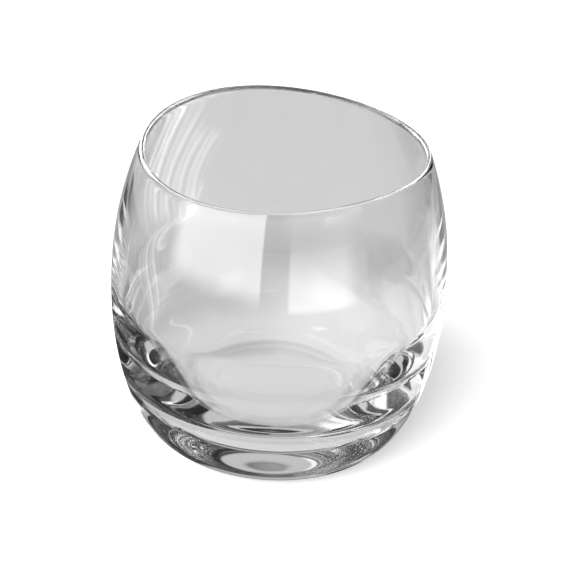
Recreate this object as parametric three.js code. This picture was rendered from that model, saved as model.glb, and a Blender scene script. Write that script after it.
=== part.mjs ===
// Rocks glass: a round-bellied tumbler made in one piece of clear glass, with a heavy base,
// a thin wall and a fire-polished lip whose height rises and falls gently round the mouth.
// Millimetres, +Z up. The glass stands on Z = 0 with its axis on Z; the lip is highest along X.
import * as THREE from 'three';

// Outside of the body
const BELLY_RADIUS = 45;
const BELLY_HEIGHT = 43.5;
const FOOT_RADIUS = 30.7;

// Mouth: the crest of the lip, at its mean height
const MOUTH_RADIUS = 37.3;
const LIP_HEIGHT = 83.1;
const LIP_WAVE = 1.3;
const LIP_WAVES_ROUND = 2;
const LIP_LEAN_DEGREES = 19.8;

// Glass thickness
const LIP_WALL = 1.7;
const BELLY_WALL = 2.6;
const BASE_THICKNESS = 9.4;

// Inside of the bowl: its wall leans in below the belly, and a wide corner takes it to the floor.
// The knee is the point where the lines of wall and floor would meet.
const KNEE_RADIUS = 28.9;
const BOWL_LEAN_DEGREES = 31.8;
const CORNER_REACH = 13.2;

// Underside: a shallow hollow inside the flat ring that the glass stands on
const HOLLOW_RADIUS = 26.5;
const HOLLOW_DEPTH = 1;

// Pulls: how far each curve keeps the direction that it starts or ends with
const HEEL_PULL = 5.2;
const LOWER_PULL = 28.2;
const UPPER_PULL = 14.8;
const LIP_PULL = 14;
const BOWL_PULL = 5;

// Facets: round the axis, and along each stretch of the outline
const SIDES = 64;
const HOLLOW_STEPS = 4;
const LOWER_STEPS = 14;
const UPPER_STEPS = 9;
const LIP_STEPS = 6;
const BOWL_STEPS = 6;
const CORNER_STEPS = 8;

const at = (radius, height) => new THREE.Vector2(radius, height);

// Lip at one place on the mouth, where its crest is raised by this much along the leaning wall
function lipAt(rise) {
  const lean = THREE.MathUtils.degToRad(LIP_LEAN_DEGREES);
  const along = at(-Math.sin(lean), Math.cos(lean));
  const outward = at(Math.cos(lean), Math.sin(lean));
  const round = LIP_WALL / 2;
  const centre = at(MOUTH_RADIUS, LIP_HEIGHT - round).addScaledVector(along, rise / Math.cos(lean));
  return {
    centre,
    round,
    startAngle: lean,
    outer: centre.clone().addScaledVector(outward, round),
    inner: centre.clone().addScaledVector(outward, -round),
    below: (end, pull) => end.clone().addScaledVector(along, -pull - rise / Math.cos(lean)),
  };
}

// Half section of the glass, from the axis under the base, up the outside, over the lip and
// down the inside to the axis on the bowl's floor
function outlineAt(rise) {
  const lip = lipAt(rise);
  const belly = at(BELLY_RADIUS, BELLY_HEIGHT);
  const innerBelly = at(BELLY_RADIUS - BELLY_WALL, BELLY_HEIGHT);
  const bowlLean = THREE.MathUtils.degToRad(BOWL_LEAN_DEGREES);
  const upBowl = at(Math.sin(bowlLean), Math.cos(bowlLean));
  const knee = at(KNEE_RADIUS, BASE_THICKNESS);
  const cornerTop = knee.clone().addScaledVector(upBowl, CORNER_REACH);
  const cornerEnd = at(KNEE_RADIUS - CORNER_REACH, BASE_THICKNESS);

  const stretches = [
    new THREE.QuadraticBezierCurve(
      at(0, HOLLOW_DEPTH),
      at(HOLLOW_RADIUS / 2, HOLLOW_DEPTH),
      at(HOLLOW_RADIUS, 0),
    ).getPoints(HOLLOW_STEPS),
    new THREE.CubicBezierCurve(
      at(FOOT_RADIUS, 0),
      at(FOOT_RADIUS + HEEL_PULL, 0),
      at(BELLY_RADIUS, BELLY_HEIGHT - LOWER_PULL),
      belly,
    ).getPoints(LOWER_STEPS),
    new THREE.CubicBezierCurve(
      belly,
      at(BELLY_RADIUS, BELLY_HEIGHT + UPPER_PULL),
      lip.below(lip.outer, LIP_PULL),
      lip.outer,
    ).getPoints(UPPER_STEPS),
    new THREE.EllipseCurve(
      lip.centre.x,
      lip.centre.y,
      lip.round,
      lip.round,
      lip.startAngle,
      lip.startAngle + Math.PI,
    ).getPoints(LIP_STEPS),
    new THREE.CubicBezierCurve(
      lip.inner,
      lip.below(lip.inner, LIP_PULL),
      at(innerBelly.x, BELLY_HEIGHT + UPPER_PULL),
      innerBelly,
    ).getPoints(UPPER_STEPS),
    new THREE.CubicBezierCurve(
      innerBelly,
      at(innerBelly.x, BELLY_HEIGHT - BOWL_PULL),
      cornerTop.clone().addScaledVector(upBowl, BOWL_PULL),
      cornerTop,
    ).getPoints(BOWL_STEPS),
    new THREE.QuadraticBezierCurve(cornerTop, knee, cornerEnd).getPoints(CORNER_STEPS),
    [at(0, BASE_THICKNESS)],
  ];
  return stretches.flat().filter((p, i, all) => i === 0 || p.distanceTo(all[i - 1]) > 1e-6);
}

// Turns the half section round the axis, with the lip's wave carried by each column of facets
function turnedGlass() {
  const rows = outlineAt(0).length;
  const geometry = new THREE.LatheGeometry(outlineAt(0), SIDES);
  const position = geometry.attributes.position;
  for (let column = 0; column <= SIDES; column++) {
    const angle = (column / SIDES) * 2 * Math.PI;
    const rise = LIP_WAVE * Math.cos(LIP_WAVES_ROUND * angle);
    outlineAt(rise).forEach((p, row) => {
      position.setXYZ(column * rows + row, p.x * Math.cos(angle), p.x * Math.sin(angle), p.y);
    });
  }
  geometry.computeVertexNormals();
  return geometry;
}

const clearGlass = new THREE.MeshStandardMaterial({
  name: 'clear_glass',
  color: 0xf1f3f3,
  roughness: 0.04,
  metalness: 0,
  transparent: true,
  opacity: 0.35,
});

const tumbler = new THREE.Mesh(turnedGlass(), clearGlass);
tumbler.name = 'tumbler';

const rocksGlass = new THREE.Group();
rocksGlass.name = 'rocks_glass';
rocksGlass.add(tumbler);

export default rocksGlass;
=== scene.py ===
import math

import bpy
from mathutils import Matrix, Vector


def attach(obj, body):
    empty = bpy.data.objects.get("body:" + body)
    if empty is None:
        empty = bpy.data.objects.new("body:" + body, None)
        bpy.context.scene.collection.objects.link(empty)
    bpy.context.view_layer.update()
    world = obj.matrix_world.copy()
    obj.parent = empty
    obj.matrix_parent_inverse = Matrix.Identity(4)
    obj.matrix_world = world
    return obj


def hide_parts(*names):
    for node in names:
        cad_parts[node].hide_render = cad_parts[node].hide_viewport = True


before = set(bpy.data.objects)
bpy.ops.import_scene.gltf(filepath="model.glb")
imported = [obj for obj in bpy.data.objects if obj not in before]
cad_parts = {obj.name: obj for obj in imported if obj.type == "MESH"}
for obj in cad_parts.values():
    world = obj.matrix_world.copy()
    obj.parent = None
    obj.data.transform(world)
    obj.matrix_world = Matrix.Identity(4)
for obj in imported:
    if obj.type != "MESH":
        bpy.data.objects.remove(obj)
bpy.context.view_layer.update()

MM = 0.001

# Section of the glass in millimetres, as in the CAD model. Only the lip is 0.01 lower here, so that
# its finer round stays inside the CAD model's box
BELLY_RADIUS = 45.0
BELLY_HEIGHT = 43.5
FOOT_RADIUS = 30.7
MOUTH_RADIUS = 37.3
LIP_HEIGHT = 83.09
LIP_WAVE = 1.3
LIP_WAVES_ROUND = 2
LIP_LEAN = math.radians(19.8)
LIP_WALL = 1.7
BELLY_WALL = 2.6
BASE_THICKNESS = 9.4
KNEE_RADIUS = 28.9
BOWL_LEAN = math.radians(31.8)
CORNER_REACH = 13.2
HOLLOW_RADIUS = 26.5
HOLLOW_DEPTH = 1.0

# Pulls: how far each curve of the section keeps the direction that it starts or ends with
HEEL_PULL = 5.2
LOWER_PULL = 28.2
UPPER_PULL = 14.8
LIP_PULL = 14.0
BOWL_PULL = 5.0

# Ribs inside the wall that blowing leaves: waves round the axis, each with its share and its phase
RIB_DEPTH = 0.008
RIB_WAVES = ((17, 0.45, 0.4), (29, 0.35, 2.1), (46, 0.2, 5.0))
RIB_LOW = 50.0
RIB_HIGH = 81.0
RIB_FADE = 14.0

# Fineness of the visual mesh: sides round the axis, and steps along each stretch of the section
SIDES = 384
HOLLOW_STEPS = 10
RING_STEPS = 3
LOWER_STEPS = 44
UPPER_STEPS = 30
LIP_STEPS = 14
BOWL_STEPS = 18
CORNER_STEPS = 22
FLOOR_STEPS = 10

# Finish of the glass: haze as patches of roughness, and slight waves drawn out up the wall
GLASS_COLOUR = (0.994, 0.995, 0.995, 1)
GLASS_IOR = 1.52
HAZE_SCALE = 60.0
HAZE_DETAIL = 4.0
HAZE_RANGE = (0.35, 0.7)
ROUGHNESS_RANGE = (0.012, 0.035)
WAVE_SCALE = 140.0
WAVE_DETAIL = 1.0
WAVE_STRETCH = 0.12
WAVE_STRENGTH = 0.12
WAVE_HEIGHT = 0.0001

# Camera of the photograph, aimed at a point on the glass's axis. FRONT is its azimuth in the CAD frame
IMAGE_SIDE = 575
FOCAL_PIXELS = 2169.0
SENSOR = 36.0
CLIP_START = 0.01
TARGET_HEIGHT = 0.0405
TARGET_PIXEL = (278.3, 289.1)
CAMERA_DISTANCE = 0.585
CAMERA_ELEVATION = math.radians(29.67)
CAMERA_ROLL = math.radians(3.18)
FRONT = math.radians(-40.3)

# Floor: to the camera it has its own glow and a diffuse grey that takes the shadow
FLOOR_HALF_SIDE = 3.0
FLOOR_GAP = 0.0005
FLOOR_GLOW = 0.62
FLOOR_LIT = 0.6

# Floor in the glass: its grey at each distance from the axis, with painted shade in it (a dip under the
# standing ring, and a darker band from 54 to 85 mm as a painted shadow of the glass), and how far
# reflections dim it near the glass as painted shade, near to far
FLOOR_GREYS_AND_PAINTED_SHADE = ((0.025, 0.74), (0.029, 0.62), (0.034, 0.72), (0.040, 0.72), (0.054, 0.54),
                (0.085, 0.53), (0.115, 0.64), (0.2, 0.62))
# Painted shade: reflections see the floor near the glass dimmed to a share of its grey, over this range of
# distances from the axis
PAINTED_SHADE_RANGE = (0.085, 0.125)
PAINTED_SHADE_SHARE = (0.12, 1.0)

# Room, with light that passes many faces of the glass, and the lamp that casts the shadow
ROOM_GREY = 0.10
LIGHT_BOUNCES = 24
KEY_AZIMUTH = -41.0
KEY_ELEVATION = 45.0
KEY_DISTANCE = 2.2
KEY_SIZE = 2.7
KEY_ENERGY = 160.0

# Cards: columns and rows of their mesh, the distance within which one stands on the floor, and soft edges
CARD_GRID = (60, 30)
STANDING_WITHIN = 0.5
EVEN_SOFT = (0.1, 0.1, 0.1, 0.1)
WIDE_SOFT = (0.3, 0.3, 0.3, 0.3)
SHARP = (0.02, 0.02, 0.02, 0.02)

# Patches on the floor: their mesh, their heights between the floor and the glass, and the half waves
# in which streaks swell and fade across a patch
PATCH_GRID = (120, 12)
DEEP_LIFT = -0.0001
POOL_LIFT = -0.0002
FOOT_LIFT = -0.0003
SHADE_LIFT = -0.0004
STREAK_SWELLS = 5

# Share of a card or patch that shows, by the count of reflections on the way to it: a range of counts,
# and the shares at its two ends
SHOWN_IN = {
    "straight": ((0.0, 1.0), (1.0, 0.0)),
    "reflections": ((0.0, 1.0), (0.0, 1.0)),
    "deep": ((1.0, 3.0), (0.0, 1.0)),
}


def bezier(points, steps):
    """Points along a Bezier curve of any degree, both ends included."""
    degree = len(points) - 1
    out = []
    for k in range(steps + 1):
        t = k / steps
        p = Vector((0.0, 0.0))
        for i, q in enumerate(points):
            p += math.comb(degree, i) * t ** i * (1 - t) ** (degree - i) * Vector(q)
        out.append(p)
    return out


def section(rise):
    """Half section (radius, height) where the lip's crest stands higher by rise.

    It runs from the axis under the base, up the outside, over the lip and down the inside to the axis.
    """
    along = Vector((-math.sin(LIP_LEAN), math.cos(LIP_LEAN)))
    outward = Vector((math.cos(LIP_LEAN), math.sin(LIP_LEAN)))
    lift = rise / math.cos(LIP_LEAN)
    round_ = LIP_WALL / 2
    crest = Vector((MOUTH_RADIUS, LIP_HEIGHT - round_)) + along * lift
    lip_out = crest + outward * round_
    lip_in = crest - outward * round_
    belly = Vector((BELLY_RADIUS, BELLY_HEIGHT))
    inner = Vector((BELLY_RADIUS - BELLY_WALL, BELLY_HEIGHT))
    up_bowl = Vector((math.sin(BOWL_LEAN), math.cos(BOWL_LEAN)))
    knee = Vector((KNEE_RADIUS, BASE_THICKNESS))
    corner_top = knee + up_bowl * CORNER_REACH
    corner_end = Vector((KNEE_RADIUS - CORNER_REACH, BASE_THICKNESS))
    half_round = []
    for k in range(LIP_STEPS + 1):
        a = LIP_LEAN + math.pi * k / LIP_STEPS
        half_round.append(crest + round_ * Vector((math.cos(a), math.sin(a))))
    runs = [
        bezier([(0, HOLLOW_DEPTH), (HOLLOW_RADIUS / 2, HOLLOW_DEPTH), (HOLLOW_RADIUS, 0)], HOLLOW_STEPS),
        bezier([(HOLLOW_RADIUS, 0), (FOOT_RADIUS, 0)], RING_STEPS),
        bezier([(FOOT_RADIUS, 0), (FOOT_RADIUS + HEEL_PULL, 0),
                (BELLY_RADIUS, BELLY_HEIGHT - LOWER_PULL), belly], LOWER_STEPS),
        bezier([belly, (BELLY_RADIUS, BELLY_HEIGHT + UPPER_PULL),
                lip_out - along * (LIP_PULL + lift), lip_out], UPPER_STEPS),
        half_round,
        bezier([lip_in, lip_in - along * (LIP_PULL + lift),
                (inner.x, BELLY_HEIGHT + UPPER_PULL), inner], UPPER_STEPS),
        bezier([inner, (inner.x, BELLY_HEIGHT - BOWL_PULL),
                corner_top + up_bowl * BOWL_PULL, corner_top], BOWL_STEPS),
        bezier([corner_top, knee, corner_end], CORNER_STEPS),
        bezier([corner_end, (0, BASE_THICKNESS)], FLOOR_STEPS),
    ]
    points = [runs[0][0]]
    for run in runs:
        points.extend(run[1:])
    return points


def smooth(t):
    """Rise from 0 to 1 that starts and ends level."""
    t = min(1.0, max(0.0, t))
    return t * t * (3 - 2 * t)


def rib(angle, height):
    """How far the inside of the wall stands out from its round, in millimetres."""
    wave = sum(share * math.cos(waves * angle + phase) for waves, share, phase in RIB_WAVES)
    return RIB_DEPTH * wave * smooth((height - RIB_LOW) / RIB_FADE) * smooth((RIB_HIGH - height) / RIB_FADE)


def tumbler_mesh():
    """The section turned round the axis, with the lip's wave and the ribs, closed by a point at each end."""
    first_inside = HOLLOW_STEPS + RING_STEPS + LOWER_STEPS + UPPER_STEPS + LIP_STEPS
    columns = []
    for side in range(SIDES):
        angle = 2 * math.pi * side / SIDES
        points = section(LIP_WAVE * math.cos(LIP_WAVES_ROUND * angle))
        for p in points[first_inside:-1]:
            p.x += rib(angle, p.y)
        columns.append((angle, points))
    verts = []
    for angle, points in columns:
        for p in points[1:-1]:
            verts.append((p.x * math.cos(angle) * MM, p.x * math.sin(angle) * MM, p.y * MM))
    ends = columns[0][1]
    rows = len(ends) - 2
    bottom = len(verts)
    verts.append((0, 0, ends[0].y * MM))
    top = len(verts)
    verts.append((0, 0, ends[-1].y * MM))
    faces = []
    for side in range(SIDES):
        here = side * rows
        there = ((side + 1) % SIDES) * rows
        faces.append((bottom, there, here))
        for row in range(rows - 1):
            faces.append((here + row, there + row, there + row + 1, here + row + 1))
        faces.append((here + rows - 1, there + rows - 1, top))
    mesh = bpy.data.meshes.new("clear_tumbler")
    mesh.from_pydata(verts, [], faces)
    mesh.validate()
    mesh.shade_smooth()
    return mesh


def nodes_of(block):
    """Empty node tree of a material or world, with its output node."""
    block.use_nodes = True
    tree = block.node_tree
    tree.nodes.clear()
    kind = "ShaderNodeOutputWorld" if isinstance(block, bpy.types.World) else "ShaderNodeOutputMaterial"
    return tree, tree.nodes.new(kind)


def add_node(tree, kind, values=()):
    """New shader node, with values for its inputs by name."""
    node = tree.nodes.new("ShaderNode" + kind)
    for name, value in dict(values).items():
        node.inputs[name].default_value = value
    return node


def map_range(tree, source, target):
    """New node that takes one range of numbers to another, each given as its two ends."""
    return add_node(tree, "MapRange", {"From Min": source[0], "From Max": source[1],
                                       "To Min": target[0], "To Max": target[1]})


def glass_material():
    """Clear glass with a faint haze in patches, and slight waves that are drawn out up the wall."""
    material = bpy.data.materials.new("clear_glass")
    material.use_nodes = True
    tree = material.node_tree
    link = tree.links.new
    shader = tree.nodes["Principled BSDF"]
    shader.inputs["Base Color"].default_value = GLASS_COLOUR
    shader.inputs["IOR"].default_value = GLASS_IOR
    shader.inputs["Transmission Weight"].default_value = 1.0
    where = add_node(tree, "TexCoord")
    haze = add_node(tree, "TexNoise", {"Scale": HAZE_SCALE, "Detail": HAZE_DETAIL})
    rough = map_range(tree, HAZE_RANGE, ROUGHNESS_RANGE)
    link(where.outputs["Object"], haze.inputs["Vector"])
    link(haze.outputs["Fac"], rough.inputs["Value"])
    link(rough.outputs["Result"], shader.inputs["Roughness"])
    stretch = add_node(tree, "Mapping", {"Scale": (1.0, 1.0, WAVE_STRETCH)})
    waves = add_node(tree, "TexNoise", {"Scale": WAVE_SCALE, "Detail": WAVE_DETAIL})
    bump = add_node(tree, "Bump", {"Strength": WAVE_STRENGTH, "Distance": WAVE_HEIGHT})
    link(where.outputs["Object"], stretch.inputs["Vector"])
    link(stretch.outputs["Vector"], waves.inputs["Vector"])
    link(waves.outputs["Fac"], bump.inputs["Height"])
    link(bump.outputs["Normal"], shader.inputs["Normal"])
    return material


def direction(azimuth, elevation):
    """Unit vector from the glass outwards, with both angles in radians in the CAD frame."""
    return Vector((math.cos(elevation) * math.cos(azimuth),
                   math.cos(elevation) * math.sin(azimuth),
                   math.sin(elevation)))


def place_camera():
    """Camera at the photograph's viewing angle, with its target on the photograph's pixel."""
    data = bpy.data.cameras.new("camera")
    camera = bpy.data.objects.new("camera", data)
    bpy.context.scene.collection.objects.link(camera)
    data.sensor_width = SENSOR
    data.lens = FOCAL_PIXELS * SENSOR / IMAGE_SIDE
    data.shift_x = (IMAGE_SIDE / 2 - TARGET_PIXEL[0]) / IMAGE_SIDE
    data.shift_y = (TARGET_PIXEL[1] - IMAGE_SIDE / 2) / IMAGE_SIDE
    data.clip_start = CLIP_START
    towards = direction(FRONT, CAMERA_ELEVATION)
    place = Vector((0, 0, TARGET_HEIGHT)) + towards * CAMERA_DISTANCE
    look = (-towards).to_track_quat("-Z", "Y").to_matrix().to_4x4()
    camera.matrix_world = Matrix.Translation(place) @ look @ Matrix.Rotation(CAMERA_ROLL, 4, "Z")
    bpy.context.scene.camera = camera


def stage_object(name, verts, faces, material):
    """Mesh object that belongs to the stage, not to the glass."""
    mesh = bpy.data.meshes.new(name)
    mesh.from_pydata(verts, [], faces)
    mesh.materials.append(material)
    obj = bpy.data.objects.new(name, mesh)
    bpy.context.scene.collection.objects.link(obj)
    return obj


def floor_material():
    """Pale floor that keeps the shadow to the camera. The glass shows it in greys round the axis, with
    painted shade under the standing ring, a painted shadow of the glass in a band round it, and painted
    shade near the glass in reflections.
    """
    material = bpy.data.materials.new("floor")
    tree, out = nodes_of(material)
    link = tree.links.new
    path = add_node(tree, "LightPath")
    glow = add_node(tree, "Emission", {"Strength": FLOOR_GLOW})
    lit = add_node(tree, "BsdfDiffuse", {"Color": (FLOOR_LIT, FLOOR_LIT, FLOOR_LIT, 1)})
    to_camera = add_node(tree, "AddShader")
    link(glow.outputs[0], to_camera.inputs[0])
    link(lit.outputs[0], to_camera.inputs[1])
    where = add_node(tree, "NewGeometry")
    radius = add_node(tree, "VectorMath")
    radius.operation = "LENGTH"
    reach = FLOOR_GREYS_AND_PAINTED_SHADE[-1][0]
    share = add_node(tree, "Math")
    share.operation = "DIVIDE"
    share.inputs[1].default_value = reach
    # painted shade: the greys dip under the standing ring and darken in a band round the glass, as a painted
    # shadow of the glass
    greys_and_painted_shade = add_node(tree, "ValToRGB")
    greys_and_painted_shade.color_ramp.interpolation = "EASE"
    stops = greys_and_painted_shade.color_ramp.elements
    for distance, shade in FLOOR_GREYS_AND_PAINTED_SHADE[1:-1]:
        stops.new(distance / reach).color = (shade, shade, shade, 1)
    for stop, (distance, shade) in ((stops[0], FLOOR_GREYS_AND_PAINTED_SHADE[0]), (stops[-1], FLOOR_GREYS_AND_PAINTED_SHADE[-1])):
        stop.position = distance / reach
        stop.color = (shade, shade, shade, 1)
    link(where.outputs["Position"], radius.inputs[0])
    link(radius.outputs["Value"], share.inputs[0])
    link(share.outputs[0], greys_and_painted_shade.inputs["Fac"])
    # painted shade near the glass, seen in reflections alone: the floor's grey is dimmed to a share of
    # itself
    near = map_range(tree, PAINTED_SHADE_RANGE, PAINTED_SHADE_SHARE)
    dim = map_range(tree, (0.0, 1.0), (1.0, 1.0))
    link(radius.outputs["Value"], near.inputs["Value"])
    link(near.outputs["Result"], dim.inputs["To Max"])
    link(path.outputs["Is Reflection Ray"], dim.inputs["Value"])
    to_glass = add_node(tree, "Emission")
    link(dim.outputs["Result"], to_glass.inputs["Strength"])
    link(greys_and_painted_shade.outputs["Color"], to_glass.inputs["Color"])
    mix = add_node(tree, "MixShader")
    link(path.outputs["Is Camera Ray"], mix.inputs["Fac"])
    link(to_glass.outputs[0], mix.inputs[1])
    link(to_camera.outputs[0], mix.inputs[2])
    link(mix.outputs[0], out.inputs["Surface"])
    material.cycles.emission_sampling = "NONE"
    return material


def lay_floor():
    """Square floor just under the glass, with room for the patches between."""
    s = FLOOR_HALF_SIDE
    corners = [(-s, -s, -FLOOR_GAP), (s, -s, -FLOOR_GAP), (s, s, -FLOOR_GAP), (-s, s, -FLOOR_GAP)]
    stage_object("floor", corners, [(0, 1, 2, 3)], floor_material())


def card_material(name, strength, seen_in):
    """Light that thins out to nothing where the mesh's cover attribute falls to 0.

    It shows always, or by the count of reflections on the way, which is the Light Path's Glossy Depth.
    """
    material = bpy.data.materials.new(name)
    tree, out = nodes_of(material)
    link = tree.links.new
    glow = add_node(tree, "Emission", {"Strength": strength})
    clear = add_node(tree, "BsdfTransparent")
    cover = add_node(tree, "Attribute")
    cover.attribute_name = "cover"
    amount = cover.outputs["Fac"]
    if seen_in in SHOWN_IN:
        path = add_node(tree, "LightPath")
        shown = map_range(tree, *SHOWN_IN[seen_in])
        product = add_node(tree, "Math")
        product.operation = "MULTIPLY"
        link(path.outputs["Glossy Depth"], shown.inputs["Value"])
        link(shown.outputs["Result"], product.inputs[0])
        link(amount, product.inputs[1])
        amount = product.outputs[0]
    mix = add_node(tree, "MixShader")
    link(amount, mix.inputs["Fac"])
    link(clear.outputs[0], mix.inputs[1])
    link(glow.outputs[0], mix.inputs[2])
    link(mix.outputs[0], out.inputs["Surface"])
    material.cycles.emission_sampling = "NONE"
    return material


def between(ends, t):
    """Number at t = 0 to 1 of the way between two ends."""
    return ends[0] + (ends[1] - ends[0]) * t


def fade(t, start, end):
    """Cover along a card from t = 0 to 1, rising over its first part and falling over its last."""
    rising = smooth(t / start) if start else 1.0
    falling = smooth((1 - t) / end) if end else 1.0
    return rising * falling


def lit_sheet(name, grid, place, cover, strength, seen_in):
    """Sheet of light that only the glass sees. Place and cover are functions of two shares from 0 to 1."""
    columns, rows = grid
    verts = []
    covers = []
    for i in range(columns + 1):
        for j in range(rows + 1):
            verts.append(place(i / columns, j / rows))
            covers.append(cover(i / columns, j / rows))
    faces = []
    for i in range(columns):
        for j in range(rows):
            k = i * (rows + 1) + j
            faces.append((k, k + 1, k + rows + 2, k + rows + 1))
    sheet = stage_object(name, verts, faces, card_material(name, strength, seen_in))
    sheet.data.attributes.new("cover", "FLOAT", "POINT").data.foreach_set("value", covers)
    sheet.visible_camera = False
    sheet.visible_diffuse = False
    sheet.visible_shadow = False
    return sheet


def studio_card(name, azimuths, heights, distance, strength, soft=EVEN_SOFT, seen_in="both"):
    """Card bent round the glass. Azimuth is 0 on the camera's side and grows to the picture's right.

    Heights are angles of elevation in degrees for a far card, metres for one that stands on the floor.
    Distance is from the axis in metres.
    Soft is the part of the card that thins out at its left, right, lower and upper edge.
    """
    standing = distance < STANDING_WITHIN

    def place(t, u):
        a = FRONT + math.radians(between(azimuths, t))
        h = between(heights, u)
        e = 0 if standing else math.radians(h)
        z = h if standing else distance * math.sin(e)
        return distance * math.cos(e) * math.cos(a), distance * math.cos(e) * math.sin(a), z

    def cover(t, u):
        return fade(t, soft[0], soft[1]) * fade(u, soft[2], soft[3])

    return lit_sheet(name, CARD_GRID, place, cover, strength, seen_in)


def mirror_card(name, azimuths, heights, distance, strength, soft):
    """Studio card that the glass reflects, and that isn't seen through it."""
    card = studio_card(name, azimuths, heights, distance, strength, soft)
    card.visible_transmission = False


def floor_patch(name, azimuths, nears, fars, strength, soft, seen_in, lift, streaks=0):
    """Patch of light or shade on the floor, which stands for what the glass throws there.

    Nears and fars are the distances of its edges from the axis at the first and the last azimuth.
    Soft is the part that thins out at both azimuths, and at the near and the far edge.
    """
    def place(t, u):
        a = FRONT + math.radians(between(azimuths, t))
        r = between((between(nears, t), between(fars, t)), u)
        return r * math.cos(a), r * math.sin(a), lift

    def cover(t, u):
        streak = 1.0
        if streaks:
            streak = 0.5 + 0.5 * math.sin(2 * math.pi * streaks * t) * math.sin(STREAK_SWELLS * math.pi * t)
        return streak * fade(t, soft[0], soft[1]) * fade(u, soft[2], soft[3])

    lit_sheet(name, PATCH_GRID, place, cover, strength, seen_in)


def hang_cards():
    """Softboxes, strips and dark flags that the glass both reflects and shows through itself.

    The last two flags stand close to the glass, and show in reflections alone.
    """
    studio_card("ceiling", (-210, 10), (56, 89), 1.6, 0.34, (0.1, 0.1, 0.1, 0))
    studio_card("ceiling_dark", (0, 160), (56, 89), 1.62, 0.02, (0, 0, 0, 0))
    studio_card("softbox_left", (-84, -22), (9, 56), 1.4, 1.9, (0.15, 0.3, 0.05, 0.5))
    studio_card("softbox_left_far", (-106, -78), (9, 54), 1.45, 1.0, (0.1, 0.1, 0.05, 0.15))
    studio_card("strip_left_far", (-144, -130), (9, 54), 1.45, 1.1, (0.2, 0.2, 0.05, 0.15))
    studio_card("strip_back_left", (-166, -142), (30, 48), 1.46, 1.1, (0.2, 0.1, 0.1, 0.2))
    studio_card("front_dark", (-22, 30), (9, 46), 1.4, 0.05)
    studio_card("softbox_right", (30, 58), (9, 34), 1.4, 1.8)
    studio_card("strip_right_high", (40, 62), (31, 39), 1.4, 1.6)
    studio_card("backdrop", (154, 206), (0, 50), 1.5, 0.6, (0.05, 0.05, 0, 0.2))
    studio_card("flag_back_right", (118, 153), (30, 56), 1.45, 0.01, SHARP)
    studio_card("flag_back_left", (-160, -141), (0, 30), 1.43, 0.01, (0.1, 0.1, 0.02, 0.05))
    studio_card("flag_left_far", (-131, -108), (9, 54), 1.5, 0.01, (0.1, 0.2, 0.02, 0.1))
    studio_card("flag_left", (-140, -78), (0.0, 0.022), 0.16, 0.03, SHARP, "reflections")
    studio_card("flag_right", (56, 153), (0.0, 0.17), 0.25, 0.015, SHARP, "reflections")


def hang_mirror_cards():
    """Softboxes in front whose shapes show on the wall, and lights that whiten the lip."""
    mirror_card("softbox_front_left", (-75, -10), (0.0, 0.21), 0.24, 7.4, (0.18, 0.02, 0.2, 0.0))
    mirror_card("softbox_front_right", (5, 52), (0.0, 0.12), 0.24, 5.2, (0.06, 0.3, 0.08, 0.6))
    mirror_card("fill_front_right", (-4, 85), (0.09, 0.32), 0.26, 2.0, (0.15, 0.3, 0.2, 0.1))
    mirror_card("softbox_above", (-150, -92), (55, 74), 1.3, 4.5, (0.3, 0.2, 0.2, 0.3))
    mirror_card("rim_light_left", (-132, -78), (30, 56), 1.3, 6.0, WIDE_SOFT)
    mirror_card("rim_light_right", (78, 132), (30, 56), 1.3, 6.0, WIDE_SOFT)
    mirror_card("rim_light_back_left", (-167, -112), (1, 62), 1.35, 10.0, (0.15, 0.2, 0.05, 0.15))
    mirror_card("rim_light_back_right", (112, 167), (1, 62), 1.35, 10.0, (0.2, 0.15, 0.05, 0.15))


def lay_patches():
    """Light that the glass throws behind itself, and the shade under and behind it."""
    floor_patch("pool_back", (92, 172), (0.032, 0.066), (0.058, 0.17), 4.5,
                (0.15, 0.2, 0.1, 0.4), "reflections", POOL_LIFT, streaks=8)
    floor_patch("pool_foot", (70, 200), (0.016, 0.016), (0.085, 0.085), 0.86,
                (0.3, 0.3, 0.2, 0.5), "straight", FOOT_LIFT)
    floor_patch("shade_back", (144, 216), (0.033, 0.033), (0.13, 0.13), 0.02,
                (0.15, 0.15, 0.1, 0.25), "reflections", SHADE_LIFT)
    floor_patch("shade_foot", (100, 260), (0.001, 0.001), (0.032, 0.032), 0.02,
                (0.1, 0.1, 0.0, 0.02), "deep", DEEP_LIFT)


def fill_world():
    """White room to the camera, and a dark grey one to the glass."""
    world = bpy.data.worlds.new("studio")
    bpy.context.scene.world = world
    tree, out = nodes_of(world)
    path = add_node(tree, "LightPath")
    strength = map_range(tree, (0.0, 1.0), (ROOM_GREY, 1.0))
    back = add_node(tree, "Background")
    tree.links.new(path.outputs["Is Camera Ray"], strength.inputs["Value"])
    tree.links.new(strength.outputs["Result"], back.inputs["Strength"])
    tree.links.new(back.outputs[0], out.inputs["Surface"])


def key_lamp():
    """Wide lamp that casts the soft shadow, and that the glass neither reflects nor shows."""
    data = bpy.data.lights.new("key", "AREA")
    data.shape = "DISK"
    data.size = KEY_SIZE
    data.energy = KEY_ENERGY
    lamp = bpy.data.objects.new("key", data)
    bpy.context.scene.collection.objects.link(lamp)
    towards = direction(FRONT + math.radians(KEY_AZIMUTH), math.radians(KEY_ELEVATION))
    lamp.location = towards * KEY_DISTANCE
    lamp.rotation_euler = (-towards).to_track_quat("-Z", "Y").to_euler()
    lamp.visible_glossy = False
    lamp.visible_transmission = False


tumbler = bpy.data.objects.new("clear_tumbler", tumbler_mesh())
bpy.context.scene.collection.objects.link(tumbler)
tumbler.data.materials.append(glass_material())
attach(tumbler, "root")
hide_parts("tumbler")

lay_floor()
hang_cards()
hang_mirror_cards()
lay_patches()
fill_world()
key_lamp()
place_camera()
bpy.context.scene.view_settings.view_transform = "Standard"
bpy.context.scene.cycles.max_bounces = LIGHT_BOUNCES
bpy.context.scene.cycles.transmission_bounces = LIGHT_BOUNCES
bpy.context.scene.cycles.glossy_bounces = LIGHT_BOUNCES
bpy.context.scene.cycles.caustics_refractive = False
bpy.context.scene.cycles.caustics_reflective = False
